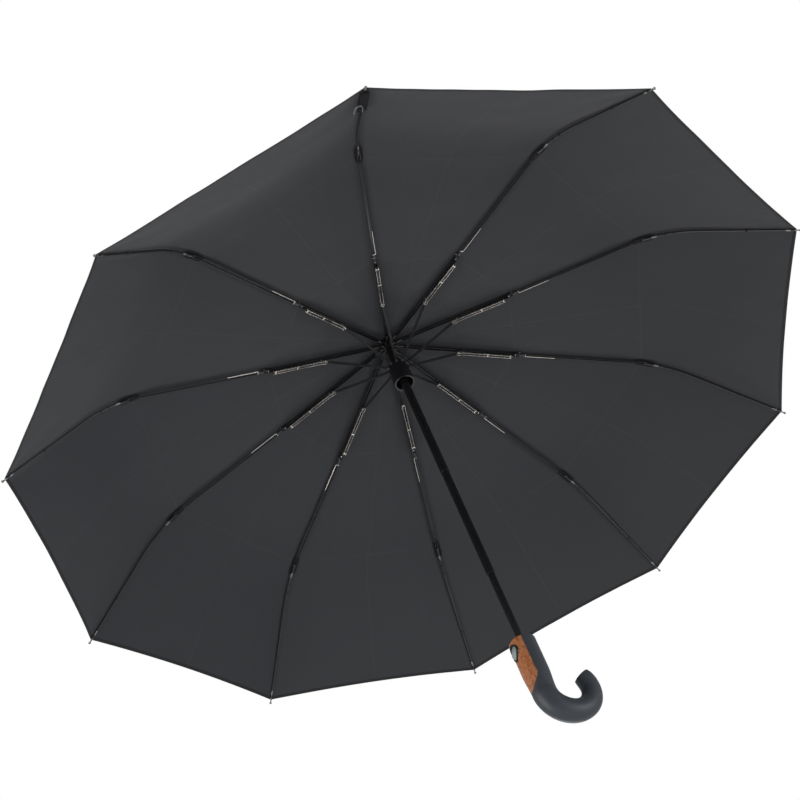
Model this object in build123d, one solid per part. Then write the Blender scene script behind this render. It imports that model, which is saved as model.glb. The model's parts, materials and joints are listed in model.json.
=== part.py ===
from build123d import *
import os
from math import atan2, cos, degrees, hypot, radians, sin, sqrt, tan

# Three-fold automatic umbrella with ten ribs, a three-tube shaft and a crook handle.
# It is drawn open and fully extended. The Z axis is the shaft, +Z points to the crown, and
# the origin is on the shaft's axis, level with the lowest point of the crook, which opens to +X.
# Millimetres and degrees throughout.

# ---- shaft ----
handle_top_z = 108.5
lower_tube_shown = 100.5
middle_tube_shown = 169.0
crown_pivot_z = 631.0
lower_tube_radius = 4.1
tube_wall = 0.6
upper_tube_wall = 0.45
lower_tube_gap = 0.3
upper_tube_gap = 0.15
tube_overlap = 30.0
tube_depth_in_handle = 46.0
fold_gap = 0.5
fit_gap = 0.05
catch_radius = 1.1
catch_height = 24.0
catch_azimuth = -60.0
spring_gap = 0.6
spring_thickness = 1.2

# ---- crown and runner ----
rib_sets = 10
rib_phase = -4.0
wire_radius = 0.5
wire_gap = 0.1
runner_gap = 0.4
runner_sleeve_wall = 0.95
slot_end_gap = 0.25
slot_side_gap = 0.4
crown_rim = 3.0
crown_above = 4.5
crown_below = 5.0
crown_edge = 1.5
cup_lip = 1.5
runner_cup_wall = 1.2
runner_above = 5.0
runner_floor_below = 4.0
runner_floor = 2.5
runner_cup_below = 30.5
runner_ring_height = 1.6
runner_sleeve_rise = 8.0
cap_radius = 11.0
cap_height = 7.0
cap_gap = 0.8
cap_stem_gap = 1.0
cap_seat_wall = 0.5

# ---- rib set ----
top_rib_slope = 12.0
top_rib_length = 176.7
top_rib_width = 4.4
top_rib_height = 3.6
sheet_wall = 0.45
tongue_width = 2.4
eye_radius = 1.8
pin_radius = 0.55
pin_gap = 0.08
elbow_distance = 95.0
elbow_drop = 4.0
stretcher_width = 2.6
stretcher_height = 2.8
link_width = 4.0
link_height = 2.6
link_drop = 5.2
link_start_before_elbow = 8.0
link_web_after_elbow = 21.0
link_end_gap = 10.7
link_wall = 0.4
rivet_before_elbow = 8.0
rivet_radius = 0.8
middle_rib_slope = 11.0
middle_rib_length = 185.3
middle_rib_width = 3.0
middle_rib_height = 2.6
joint_lift = 2.2
joint_drop = 2.0
lever_reach = 5.5
lever_drop = 3.2
coupling_wire_radius = 0.6
tail_start_slope = 24.0
tail_end_slope = 41.9
tail_block = 12.0
tail_bend = 60.0
tail_straight = 127.3
tail_rib_radius = 1.1
tip_radius = 1.7
tip_length = 6.5

# ---- canopy ----
canopy_thickness = 0.4
canopy_hole_gap = 0.3
canopy_lift_at_crown = 8.0
canopy_gap_over_ears = 1.4
canopy_lift_on_middle_rib = 2.1
canopy_lift_before_outer_knee = 1.0
canopy_lift_on_tail_bend = 4.4
canopy_lift_on_tail_rib = 3.0
canopy_lift_at_corner = 2.0

# ---- handle ----
grip_radius = 15.3
crook_centre_z = 40.3
crook_bend_radius = 27.5
crook_sweep = 207.0
crook_end_straight = 3.0
bend_radii = [13.7, 13.6, 13.0, 12.0, 11.1, 10.3, 9.6]
grip_rim = 1.6
inlay_depth = 2.0
inlay_side_rim = 1.3
inlay_low_z = 41.5
inlay_shoulder_z = 60.0
collar_lip = 3.9
collar_height = 3.0
collar_depth = 1.2
bezel_top_radius = 9.0
bezel_tail_radius = 2.6
bezel_height = 22.0
bezel_centre_z = 93.0
bezel_rim = 2.0
bezel_proud = 0.8
bezel_depth = 3.5
button_gap = 0.25
button_proud = 1.3
button_thickness = 8.2
button_travel = 1.5
button_spring_radius = 2.6
button_spring_wire = 0.6
beyond_grip = 40.0

# ---- closing strap, folded back on itself beside one tail rib ----
strap_rib = 7
strap_width = 9.0
strap_length = 46.0
strap_thickness = 1.2

# ---- sizes that follow from the ones above ----
lower_tube_bore = lower_tube_radius - tube_wall
middle_tube_bore = lower_tube_radius + lower_tube_gap
middle_tube_radius = middle_tube_bore + tube_wall
upper_tube_bore = middle_tube_radius + upper_tube_gap
upper_tube_radius = upper_tube_bore + upper_tube_wall
runner_bore = upper_tube_radius + runner_gap
slot_floor_radius = runner_bore + runner_sleeve_wall
slot_width = max(tongue_width, stretcher_width) + slot_side_gap
pivot_ring_radius = slot_floor_radius + eye_radius + slot_end_gap
crown_radius = pivot_ring_radius + crown_rim
runner_cup_radius = crown_radius + cup_lip
cap_stem_radius = upper_tube_bore - cap_stem_gap
cap_seat_bore = cap_stem_radius + fit_gap
cap_rim_z = crown_pivot_z + canopy_lift_at_crown + canopy_thickness + cap_gap
canopy_hole_radius = cap_seat_bore + cap_seat_wall + canopy_hole_gap
canopy_lift_on_top_rib = joint_lift + eye_radius + canopy_gap_over_ears
collar_radius = lower_tube_radius + collar_lip
collar_low_z = handle_top_z - collar_depth
inlay_half_width = grip_radius - inlay_side_rim
button_back = grip_radius + button_proud - button_thickness
slot_angle = 360.0 / rib_sets
rib_angles = [rib_phase + slot_angle * index for index in range(rib_sets)]
runner_pivot_length = hypot(elbow_distance, elbow_drop)
elbow_slope = top_rib_slope + degrees(atan2(elbow_drop, elbow_distance))
runner_pivot_z = crown_pivot_z - 2 * runner_pivot_length * sin(radians(elbow_slope))
middle_tube_end_z = handle_top_z + lower_tube_shown
upper_tube_end_z = middle_tube_end_z + middle_tube_shown
pin_hole_radius = pin_radius + pin_gap
wire_hole_radius = wire_radius + wire_gap


def flat_piece(outline, low, high):
    """A plate whose outline lies in the rib's own plane (along, up), from low to high across it."""
    face = make_face(Polyline(*outline, close=True))
    return Rot(90, 0, 0) * extrude(Pos(0, 0, -high) * face, high - low)


def cross_pin(along, up, radius, low, high):
    """A round pin across the rib's plane."""
    pin = Cylinder(radius, high - low, align=(Align.CENTER, Align.CENTER, Align.MIN))
    return Pos(along, high, up) * Rot(90, 0, 0) * pin


def cross_box(start, end, low_side, high_side, bottom, top):
    """A box given by its ends along, across and up."""
    box = Box(end - start, high_side - low_side, top - bottom, align=(Align.MIN,) * 3)
    return Pos(start, low_side, bottom) * box


def both_sides(outline, inner, outer):
    """Two equal plates, one on each side of the rib's plane."""
    return flat_piece(outline, inner, outer) + flat_piece(outline, -outer, -inner)


def along_slope(distance, lift, slope):
    """How far out and how far up a point lies that is so far along and above a sloping rib."""
    angle = radians(slope)
    return distance * cos(angle) + lift * sin(angle), lift * cos(angle) - distance * sin(angle)


def placed(piece, radius, height, slope, azimuth):
    return Rot(0, 0, azimuth) * Pos(radius, 0, height) * Rot(0, slope, 0) * piece


def tube(outer, inner, low, high):
    wall = Cylinder(outer, high - low, align=(Align.CENTER, Align.CENTER, Align.MIN))
    bore = Cylinder(inner, high - low, align=(Align.CENTER, Align.CENTER, Align.MIN))
    return Pos(0, 0, low) * (wall - bore)


def rod(radius, low, high):
    return Pos(0, 0, low) * Cylinder(radius, high - low, align=(Align.CENTER, Align.CENTER, Align.MIN))


def save(piece, name):
    export_step(piece, f"parts/{name}.step")


# ---- where the joints of one rib set are, as radius and height ----
knee_out, knee_up = along_slope(top_rib_length, joint_lift, top_rib_slope)
knee_radius = pivot_ring_radius + knee_out
knee_z = crown_pivot_z + knee_up
outer_knee_lift = -joint_lift - joint_drop
outer_out, outer_up = along_slope(middle_rib_length, outer_knee_lift, middle_rib_slope)
outer_knee_radius = knee_radius + outer_out
outer_knee_z = knee_z + outer_up
bend_radius = tail_bend / radians(tail_end_slope - tail_start_slope)


def tail_point(distance):
    """Radius and height of a point on the tail rib's centre line, and its slope there."""
    out, up = along_slope(min(distance, tail_block), 0, tail_start_slope)
    slope = tail_start_slope
    if distance > tail_block:
        slope += degrees(min(distance - tail_block, tail_bend) / bend_radius)
        out += bend_radius * (sin(radians(slope)) - sin(radians(tail_start_slope)))
        up += bend_radius * (cos(radians(slope)) - cos(radians(tail_start_slope)))
    if distance > tail_block + tail_bend:
        rest_out, rest_up = along_slope(distance - tail_block - tail_bend, 0, tail_end_slope)
        out += rest_out
        up += rest_up
    return outer_knee_radius + out, outer_knee_z + up, slope


# ---- shaft tubes ----
def lower_tube():
    low = handle_top_z - tube_depth_in_handle
    return tube(lower_tube_radius, lower_tube_bore, low, middle_tube_end_z + tube_overlap)


def middle_tube():
    return tube(middle_tube_radius, middle_tube_bore, middle_tube_end_z, upper_tube_end_z + tube_overlap)


def upper_tube():
    return tube(upper_tube_radius, upper_tube_bore, upper_tube_end_z, crown_pivot_z + crown_above)


def tube_catch():
    """The sprung stud of the middle tube, pressed in until it is level with the wall just above its end."""
    stud = rod(catch_radius, middle_tube_bore + fit_gap, middle_tube_radius - 2 * fit_gap)
    return Pos(0, 0, middle_tube_end_z + catch_height) * Rot(0, 0, catch_azimuth) * Rot(0, 90, 0) * stud


def catch_hole():
    hole = rod(catch_radius + fit_gap, 0, 2 * middle_tube_radius)
    return Pos(0, 0, middle_tube_end_z + catch_height) * Rot(0, 0, catch_azimuth) * Rot(0, 90, 0) * hole


def opening_spring():
    """The long coil that drives the tubes apart, as a plain sleeve between the middle tube and the crown."""
    low = upper_tube_end_z + tube_overlap + fold_gap
    outer = upper_tube_bore - spring_gap
    return tube(outer, outer - spring_thickness, low, crown_pivot_z - crown_below)


# ---- crown, runner, and what is fixed to them ----
def slots(low, high):
    """The radial slots in which the ribs' eyes turn."""
    cut = cross_box(slot_floor_radius, 2 * crown_radius, -slot_width / 2, slot_width / 2, low, high)
    return [Rot(0, 0, angle) * cut for angle in rib_angles]


def crown():
    low = crown_pivot_z - crown_below
    high = crown_pivot_z + crown_above
    hub = tube(crown_radius, upper_tube_radius + fit_gap, low, high)
    hub = chamfer(hub.edges().filter_by(GeomType.CIRCLE).sort_by(Axis.Z)[-1], crown_edge)
    hub -= Pos(0, 0, crown_pivot_z) * Torus(pivot_ring_radius, wire_radius + fit_gap / 2)
    return hub - slots(low - 1, high + 1)


def pivot_wire(height):
    return Pos(0, 0, height) * Torus(pivot_ring_radius, wire_radius)


def top_cap():
    """The cap that holds the canopy's centre down on the crown, with its dome and its stem."""
    dome_radius = (cap_radius ** 2 + cap_height ** 2) / (2 * cap_height)
    ball = Pos(0, 0, cap_rim_z + cap_height - dome_radius) * Sphere(dome_radius)
    dome = ball & rod(2 * cap_radius, cap_rim_z, cap_rim_z + 2 * cap_height)
    return dome + rod(cap_stem_radius, crown_pivot_z - crown_below + 1, cap_rim_z + 1)


def cap_seat():
    """The washer that fills the space between the crown's top and the cap, inside the canopy's hole."""
    outer = cap_seat_bore + cap_seat_wall
    return tube(outer, cap_seat_bore, crown_pivot_z + crown_above, cap_rim_z)


def runner():
    floor_z = runner_pivot_z - runner_floor_below
    hub_top = runner_pivot_z + runner_above
    cup_low = runner_pivot_z - runner_cup_below
    hub = tube(crown_radius, runner_bore, floor_z - runner_floor, hub_top)
    hub -= Pos(0, 0, runner_pivot_z) * Torus(pivot_ring_radius, wire_radius + fit_gap / 2)
    hub -= slots(floor_z, hub_top + 1)
    floor = tube(runner_cup_radius, runner_bore, floor_z - runner_floor, floor_z)
    skirt = tube(runner_cup_radius, runner_cup_radius - runner_cup_wall, cup_low, floor_z)
    sleeve = tube(slot_floor_radius, runner_bore, cup_low + runner_sleeve_rise, floor_z)
    return hub + floor + skirt + sleeve


def runner_ring():
    high = runner_pivot_z - runner_cup_below
    return tube(runner_cup_radius, runner_cup_radius - 1.5 * runner_cup_wall, high - runner_ring_height, high)


# ---- one rib set, each piece in its own frame: x along, z up towards the canopy ----
def top_rib():
    """U channel with a tongue and eye at the crown, an elbow bracket, and two ears at the knee."""
    half_width = top_rib_width / 2
    half_height = top_rib_height / 2
    ear_inner = half_width - sheet_wall
    channel_start = 9.0
    channel_end = top_rib_length - 6.7
    knee_ears = [(channel_end - 5, -half_height), (channel_end - 5, half_height),
                 (top_rib_length - 3, joint_lift + eye_radius),
                 (top_rib_length + eye_radius, joint_lift + eye_radius),
                 (top_rib_length + eye_radius, joint_lift - eye_radius),
                 (top_rib_length - 2, -half_height)]
    elbow_ears = [(elbow_distance - 8, 0), (elbow_distance + 8, 0), (elbow_distance + 2, -elbow_drop - 1.6),
                  (elbow_distance - 2, -elbow_drop - 1.6)]
    channel = cross_box(channel_start, channel_end, -half_width, half_width, -half_height, half_height)
    channel -= cross_box(channel_start - 1, channel_end + 1, -ear_inner, ear_inner, -half_height - 1,
                         half_height - sheet_wall)
    tongue_outline = [(0, -1.5), (channel_start + 3, -1.5), (channel_start + 3, half_height - 0.1), (0, 1.5)]
    tongue = flat_piece(tongue_outline, -tongue_width / 2, tongue_width / 2)
    tongue += cross_pin(0, 0, eye_radius, -tongue_width / 2, tongue_width / 2)
    rib = channel + tongue
    rib += both_sides(knee_ears, ear_inner, half_width)
    rib += both_sides(elbow_ears, ear_inner, half_width)
    rib -= cross_pin(0, 0, wire_hole_radius, -tongue_width, tongue_width)
    rib += cross_pin(elbow_distance, -elbow_drop, pin_radius, -half_width, half_width)
    rib += cross_pin(top_rib_length, joint_lift, pin_radius, -half_width, half_width)
    return rib


def link_channel():
    """The bright channel below the top rib's outer half, open below so the stretcher folds into it."""
    half_width = link_width / 2
    start = elbow_distance - link_start_before_elbow
    end = top_rib_length - link_end_gap
    top = -link_drop
    bottom = top - link_height
    side = [(start, bottom - 1.4), (start, top), (end, top), (end, bottom), (start + 7, bottom)]
    link = both_sides(side, half_width - link_wall, half_width)
    web_start = elbow_distance + link_web_after_elbow
    return link + cross_box(web_start, end, -half_width, half_width, top - link_wall, top)


def stretcher():
    """Bar from the runner's wire to the elbow: an eye at each end and the link's rivet near the elbow."""
    half_width = stretcher_width / 2
    half_height = stretcher_height / 2
    length = runner_pivot_length
    bar = cross_box(0, length, -half_width, half_width, -half_height, half_height)
    for end in (0, length):
        bar += cross_pin(end, 0, eye_radius, -half_width, half_width)
    bar -= cross_pin(0, 0, wire_hole_radius, -half_width - 1, half_width + 1)
    bar -= cross_pin(length, 0, pin_hole_radius, -half_width - 1, half_width + 1)
    rivet_side = half_width + 0.2
    bar += cross_pin(length - rivet_before_elbow, 0, rivet_radius, -rivet_side, rivet_side)
    return bar


def middle_rib():
    """Bar with an eye above its line at the knee, a short lever, and two ears at the outer knee."""
    half_width = middle_rib_width / 2
    top = -joint_lift + middle_rib_height / 2
    bottom = -joint_lift - middle_rib_height / 2
    bar_end = middle_rib_length - 4.5
    eye_side = half_width - 0.1
    bar = cross_box(3, bar_end, -half_width, half_width, bottom, top)
    neck = [(-0.6, eye_radius - 0.2), (1.2, eye_radius - 0.4), (8, top), (8, bottom), (1.0, bottom),
            (-1.4, -0.8)]
    bar += flat_piece(neck, -eye_side, eye_side)
    bar += cross_pin(0, 0, eye_radius, -eye_side, eye_side)
    lever_side = stretcher_width / 2
    lever_length = hypot(lever_reach, lever_drop)
    lever_angle = degrees(atan2(lever_drop, lever_reach))
    lever = cross_box(0, lever_length, -lever_side, lever_side, -1.2, 1.2)
    lever += cross_pin(lever_length, 0, 1.2, -lever_side, lever_side)
    bar += Rot(0, 180 - lever_angle, 0) * lever
    bar -= cross_pin(0, 0, pin_hole_radius, -half_width - 1, half_width + 1)
    pivot_up = outer_knee_lift
    ears = [(middle_rib_length - 11, top - 0.3), (middle_rib_length - 2.5, top - 0.3),
            (middle_rib_length + 1.6, pivot_up + 0.8), (middle_rib_length + 1.6, pivot_up - 1.4),
            (middle_rib_length - 1.4, pivot_up - 1.4), (middle_rib_length - 11, bottom + 0.2)]
    bar += both_sides(ears, half_width - 0.05, half_width + sheet_wall)
    ear_side = half_width + sheet_wall
    bar += cross_pin(middle_rib_length, pivot_up, pin_radius, -ear_side, ear_side)
    return bar + coupling_wire()


def coupling_wire():
    """The thin wire beside the middle rib that turns the tail rib as the knee folds."""
    side = middle_rib_width / 2 + coupling_wire_radius
    height = -joint_lift - 0.6
    start = 8.0
    end = middle_rib_length - 15
    wire = cross_box(start, end, side - coupling_wire_radius, side + coupling_wire_radius,
                     height - coupling_wire_radius, height + coupling_wire_radius)
    for along in (start + 1, end - 1):
        wire += cross_pin(along, height, coupling_wire_radius, 0, side)
    return wire


def tail_rib():
    """Rod from the outer knee to the canopy's corner: a flat block, a short bend, then straight."""
    angle = radians(tail_end_slope - tail_start_slope)
    block_end = (tail_block, 0)
    bend_end = (tail_block + bend_radius * sin(angle), -bend_radius * (1 - cos(angle)))
    bend_middle = (tail_block + bend_radius * sin(angle / 2), -bend_radius * (1 - cos(angle / 2)))
    tail_end = (bend_end[0] + tail_straight * cos(angle), bend_end[1] - tail_straight * sin(angle))
    bend = ThreePointArc((block_end[0], 0, 0), (bend_middle[0], 0, bend_middle[1]),
                         (bend_end[0], 0, bend_end[1]))
    straight = Line((bend_end[0], 0, bend_end[1]), (tail_end[0], 0, tail_end[1]))
    section = Plane(origin=(block_end[0], 0, 0), z_dir=(1, 0, 0)) * Circle(tail_rib_radius)
    spoke = sweep(section, path=bend)
    spoke += sweep(Plane(origin=straight @ 0, z_dir=straight % 0) * Circle(tail_rib_radius), path=straight)
    block_side = middle_rib_width / 2 - 0.2
    block = cross_box(0, tail_block, -block_side, block_side, -1.3, 1.3)
    block += cross_pin(0, 0, eye_radius - 0.1, -block_side, block_side)
    block -= cross_pin(0, 0, pin_hole_radius, -block_side - 1, block_side + 1)
    return block + spoke


def rib_tip():
    """The silver ferrule on the tail rib's end, which holds the canopy's corner."""
    angle = radians(tail_end_slope - tail_start_slope)
    out = tail_block + bend_radius * sin(angle) + tail_straight * cos(angle)
    down = bend_radius * (1 - cos(angle)) + tail_straight * sin(angle)
    body = Cylinder(tip_radius, tip_length, align=(Align.CENTER, Align.CENTER, Align.MIN))
    body = fillet(body.edges().filter_by(GeomType.CIRCLE).sort_by(Axis.Z)[-1], 0.7 * tip_radius)
    turn = 90 + tail_end_slope - tail_start_slope
    return Pos(out, 0, -down) * Rot(0, turn, 0) * body


# ---- canopy ----
def rib_line_point(index, lift_above):
    """Chosen points of the canopy's line over a rib: on the top rib, the middle rib and the tail rib."""
    if index < 3:
        distance = (0.25 * top_rib_length, 0.62 * top_rib_length, top_rib_length)[index]
        out, up = along_slope(distance, canopy_lift_on_top_rib + lift_above, top_rib_slope)
        return pivot_ring_radius + out, crown_pivot_z + up
    if index < 5:
        distance = (0.5 * middle_rib_length, middle_rib_length - 14)[index - 3]
        lift = (canopy_lift_on_middle_rib, canopy_lift_before_outer_knee)[index - 3] + lift_above
        out, up = along_slope(distance, lift, middle_rib_slope)
        return knee_radius + out, knee_z + up
    distance = (tail_block + 0.6 * tail_bend, tail_block + tail_bend + 0.5 * tail_straight,
                tail_block + tail_bend + tail_straight)[index - 5]
    radius, height, slope = tail_point(distance)
    lift = (canopy_lift_on_tail_bend, canopy_lift_on_tail_rib, canopy_lift_at_corner)[index - 5] + lift_above
    return radius + lift * sin(radians(slope)), height + lift * cos(radians(slope))


def canopy_line(lift_above):
    start = (canopy_hole_radius, crown_pivot_z + canopy_lift_at_crown + lift_above)
    return [start] + [rib_line_point(index, lift_above) for index in range(8)]


def canopy_gore():
    """One of the ten gores: straight across between its two ribs, curved along them."""
    half_angle = radians(slot_angle / 2)
    lower = [(radius * cos(half_angle), height) for radius, height in canopy_line(0)]
    upper = [(radius * cos(half_angle), height) for radius, height in canopy_line(canopy_thickness)]
    lower_edge = Spline(*lower)
    upper_edge = Spline(*upper)
    inner_edge = Line(lower[0], upper[0])
    outer_edge = Line(lower[-1], upper[-1])
    face = make_face([lower_edge, outer_edge, upper_edge, inner_edge])
    reach = canopy_line(0)[-1][0] + 20
    side = reach * tan(half_angle)
    strip = Rot(90, 0, 0) * extrude(Pos(0, 0, -side) * face, 2 * side)
    wedge_face = make_face(Polyline((0, 0), (reach, -side), (reach, side), close=True))
    return strip & extrude(wedge_face, 2 * crown_pivot_z)


def canopy():
    gore = canopy_gore()
    gores = [Rot(0, 0, angle + slot_angle / 2) * gore for angle in rib_angles]
    return Compound(children=gores)


def closing_strap():
    """The narrow strap that ties the closed umbrella, hanging folded from the canopy beside a tail rib."""
    half = strap_width / 2
    start = tail_bend + tail_block + tail_straight - strap_length - 12
    outline = [(0, -strap_thickness), (0, 0), (strap_length, 0), (strap_length, -strap_thickness)]
    radius, height, slope = tail_point(start)
    side = 8.0
    band = flat_piece(outline, side - half, side + half)
    drop = 2.4 + strap_thickness
    out, up = along_slope(0, -drop, slope)
    return placed(band, radius + out, height + up, slope, rib_angles[strap_rib])


# ---- handle ----
def grip_body(inset):
    """The round grip down to the start of the crook, or its core when it is inset."""
    radius = grip_radius - inset
    low_radius = bend_radii[0] - inset
    high = handle_top_z + inset
    shoulder_z = handle_top_z - 0.6 * (handle_top_z - crook_centre_z)
    waist = Spline((radius, shoulder_z), (low_radius, crook_centre_z), tangents=[(0, -1), (0, -1)])
    rim = ThreePointArc((radius - grip_rim, high), (radius - 0.293 * grip_rim, high - 0.293 * grip_rim),
                        (radius, high - grip_rim))
    outline = [Line((0, crook_centre_z), (0, high)), Line((0, high), (radius - grip_rim, high)), rim,
               Line((radius, high - grip_rim), (radius, shoulder_z)), waist,
               Line((low_radius, crook_centre_z), (0, crook_centre_z))]
    return revolve(Plane.XZ * make_face(outline), Axis.Z, 360)


def crook_bend():
    """The crook itself: round sections that thin out round the bend, with a short straight end."""
    sections = []
    steps = len(bend_radii) - 2
    for step, radius in enumerate(bend_radii[:-1]):
        angle = radians(crook_sweep * step / steps)
        out = crook_bend_radius * (1 - cos(angle))
        height = crook_centre_z - crook_bend_radius * sin(angle)
        place = Plane(origin=(out, 0, height), x_dir=(0, 1, 0), z_dir=(sin(angle), 0, -cos(angle)))
        sections.append(place * Circle(radius))
    out += crook_end_straight * sin(angle)
    height -= crook_end_straight * cos(angle)
    place = Plane(origin=(out, 0, height), x_dir=(0, 1, 0), z_dir=(sin(angle), 0, -cos(angle)))
    sections.append(place * Circle(bend_radii[-1]))
    return loft(sections)


def shield(outset):
    """Outline of the inlay, across and up: straight sides from the grip's top, rounded to a point below."""
    half = inlay_half_width + outset
    low = inlay_low_z - outset
    high = handle_top_z + 5
    middle_z = 0.5 * (inlay_shoulder_z + low)
    right = ThreePointArc((half, inlay_shoulder_z), (0.72 * half, middle_z - 1.5), (0, low))
    left = ThreePointArc((0, low), (-0.72 * half, middle_z - 1.5), (-half, inlay_shoulder_z))
    sides = Polyline((-half, inlay_shoulder_z), (-half, high), (half, high), (half, inlay_shoulder_z))
    return make_face([right, left, sides])


def teardrop(shrink):
    """Outline of the bezel and the button, across and up: a round top that narrows to a small round foot."""
    top = bezel_top_radius - shrink
    foot = max(bezel_tail_radius - shrink, 0.6)
    top_z = bezel_centre_z + bezel_height / 2 - bezel_top_radius
    foot_z = bezel_centre_z - bezel_height / 2 + shrink + foot
    lean = (top - foot) / (top_z - foot_z)
    side = sqrt(1 - lean ** 2)
    top_point = (top * side, top_z - top * lean)
    foot_point = (foot * side, foot_z - foot * lean)
    round_top = ThreePointArc(top_point, (0, top_z + top), (-top_point[0], top_point[1]))
    round_foot = ThreePointArc((-foot_point[0], foot_point[1]), (0, foot_z - foot), foot_point)
    left = Line((-top_point[0], top_point[1]), (-foot_point[0], foot_point[1]))
    right = Line(foot_point, top_point)
    return make_face([round_top, left, round_foot, right])


def pushed_from_outside(face, near, far=beyond_grip):
    """A prism on the -X side whose outline is given across and up, from near to far from the axis."""
    prism = extrude(Pos(0, 0, near) * face, far - near)
    return Rot(0, 0, -90) * Rot(90, 0, 0) * prism


def handle_crook():
    body = grip_body(0)
    body -= pushed_from_outside(shield(0), 0) - grip_body(inlay_depth)
    body -= rod(lower_tube_radius + fit_gap, handle_top_z - tube_depth_in_handle, handle_top_z + 1)
    body -= rod(collar_radius + fit_gap, collar_low_z, handle_top_z + 1)
    body -= pushed_from_outside(teardrop(0), 0) - rod(grip_radius - bezel_depth, 0, 2 * handle_top_z)
    body -= pushed_from_outside(teardrop(bezel_rim - button_gap), button_back - button_travel - 0.7)
    return body + crook_bend()


def handle_inlay():
    shell = grip_body(0) & pushed_from_outside(shield(0), 0)
    shell -= grip_body(inlay_depth)
    shell -= rod(collar_radius + fit_gap, collar_low_z, handle_top_z + 1)
    return shell - pushed_from_outside(teardrop(0), 0)


def button_bezel():
    outer_wall = grip_radius + bezel_proud
    ring = pushed_from_outside(teardrop(0), 0) - pushed_from_outside(teardrop(bezel_rim), 0)
    return ring & tube(outer_wall, grip_radius - bezel_depth, 60, handle_top_z + 10)


def push_button():
    prism = pushed_from_outside(teardrop(bezel_rim + button_gap), button_back)
    crown_ball = Pos(0, 0, bezel_centre_z) * Sphere(grip_radius + button_proud)
    return prism & crown_ball


def button_spring():
    coil = tube(button_spring_radius, button_spring_radius - button_spring_wire, 0, button_spring_wire)
    return Pos(-button_back, 0, bezel_centre_z) * Rot(0, 90, 0) * coil


def handle_collar():
    return tube(collar_radius, lower_tube_radius + fit_gap, collar_low_z, collar_low_z + collar_height)


os.makedirs("parts", exist_ok=True)

save(lower_tube(), "lower_tube")
save(middle_tube() - catch_hole(), "middle_tube")
save(tube_catch(), "tube_catch")
save(upper_tube(), "upper_tube")
save(opening_spring(), "opening_spring")
save(crown(), "crown")
save(pivot_wire(crown_pivot_z), "crown_wire")
save(top_cap(), "top_cap")
save(cap_seat(), "cap_seat")
save(runner(), "runner")
save(pivot_wire(runner_pivot_z), "runner_wire")
save(runner_ring(), "runner_ring")
save(canopy(), "canopy")
save(closing_strap(), "closing_strap")
save(handle_crook(), "handle_crook")
save(handle_inlay(), "handle_inlay")
save(button_bezel(), "button_bezel")
save(push_button(), "push_button")
save(button_spring(), "button_spring")
save(handle_collar(), "handle_collar")

for number, azimuth in enumerate(rib_angles):
    rib = placed(top_rib(), pivot_ring_radius, crown_pivot_z, top_rib_slope, azimuth)
    link = placed(link_channel(), pivot_ring_radius, crown_pivot_z, top_rib_slope, azimuth)
    save(Compound(children=[rib, link]), f"top_rib_{number}")
    save(placed(stretcher(), pivot_ring_radius, runner_pivot_z, -elbow_slope, azimuth), f"stretcher_{number}")
    save(placed(middle_rib(), knee_radius, knee_z, middle_rib_slope, azimuth), f"middle_rib_{number}")
    spoke = placed(tail_rib(), outer_knee_radius, outer_knee_z, tail_start_slope, azimuth)
    tip = placed(rib_tip(), outer_knee_radius, outer_knee_z, tail_start_slope, azimuth)
    save(Compound(children=[spoke, tip]), f"tail_rib_{number}")

print("runner pivot z", round(runner_pivot_z, 3))
print("knee", round(knee_radius, 3), round(knee_z, 3))
print("outer knee", round(outer_knee_radius, 3), round(outer_knee_z, 3))
print("canopy corner", [round(value, 2) for value in canopy_line(0)[-1]])
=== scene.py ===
import json
from math import atan2, cos, degrees, exp, hypot, pi, radians, sin, tan

import bmesh
import bpy
from mathutils import Matrix, Vector, noise


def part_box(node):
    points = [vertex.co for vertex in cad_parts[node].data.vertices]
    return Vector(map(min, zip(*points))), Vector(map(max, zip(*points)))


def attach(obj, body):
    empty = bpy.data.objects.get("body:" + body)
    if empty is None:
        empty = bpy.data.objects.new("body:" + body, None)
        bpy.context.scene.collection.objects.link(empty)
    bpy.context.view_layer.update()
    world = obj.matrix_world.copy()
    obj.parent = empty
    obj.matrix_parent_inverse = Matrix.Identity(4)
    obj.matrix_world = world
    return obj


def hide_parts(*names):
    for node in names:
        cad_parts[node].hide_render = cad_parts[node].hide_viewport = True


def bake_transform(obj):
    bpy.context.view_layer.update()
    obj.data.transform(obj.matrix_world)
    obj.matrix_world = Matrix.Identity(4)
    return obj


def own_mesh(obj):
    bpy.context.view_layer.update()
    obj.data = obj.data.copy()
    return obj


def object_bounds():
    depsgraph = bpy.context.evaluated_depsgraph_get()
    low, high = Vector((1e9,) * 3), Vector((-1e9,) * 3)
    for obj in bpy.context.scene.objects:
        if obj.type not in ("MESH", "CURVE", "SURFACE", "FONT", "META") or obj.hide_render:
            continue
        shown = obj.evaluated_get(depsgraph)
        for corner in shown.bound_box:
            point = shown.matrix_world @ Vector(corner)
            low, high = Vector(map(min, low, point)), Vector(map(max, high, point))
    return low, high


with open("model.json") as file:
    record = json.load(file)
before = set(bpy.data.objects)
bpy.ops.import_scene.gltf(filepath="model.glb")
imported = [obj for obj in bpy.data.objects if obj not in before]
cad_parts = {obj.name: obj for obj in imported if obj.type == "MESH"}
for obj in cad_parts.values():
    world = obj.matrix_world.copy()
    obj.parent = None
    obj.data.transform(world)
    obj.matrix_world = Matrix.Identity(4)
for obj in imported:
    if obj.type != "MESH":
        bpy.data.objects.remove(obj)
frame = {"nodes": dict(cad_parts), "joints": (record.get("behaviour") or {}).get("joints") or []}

cad_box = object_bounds()


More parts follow.
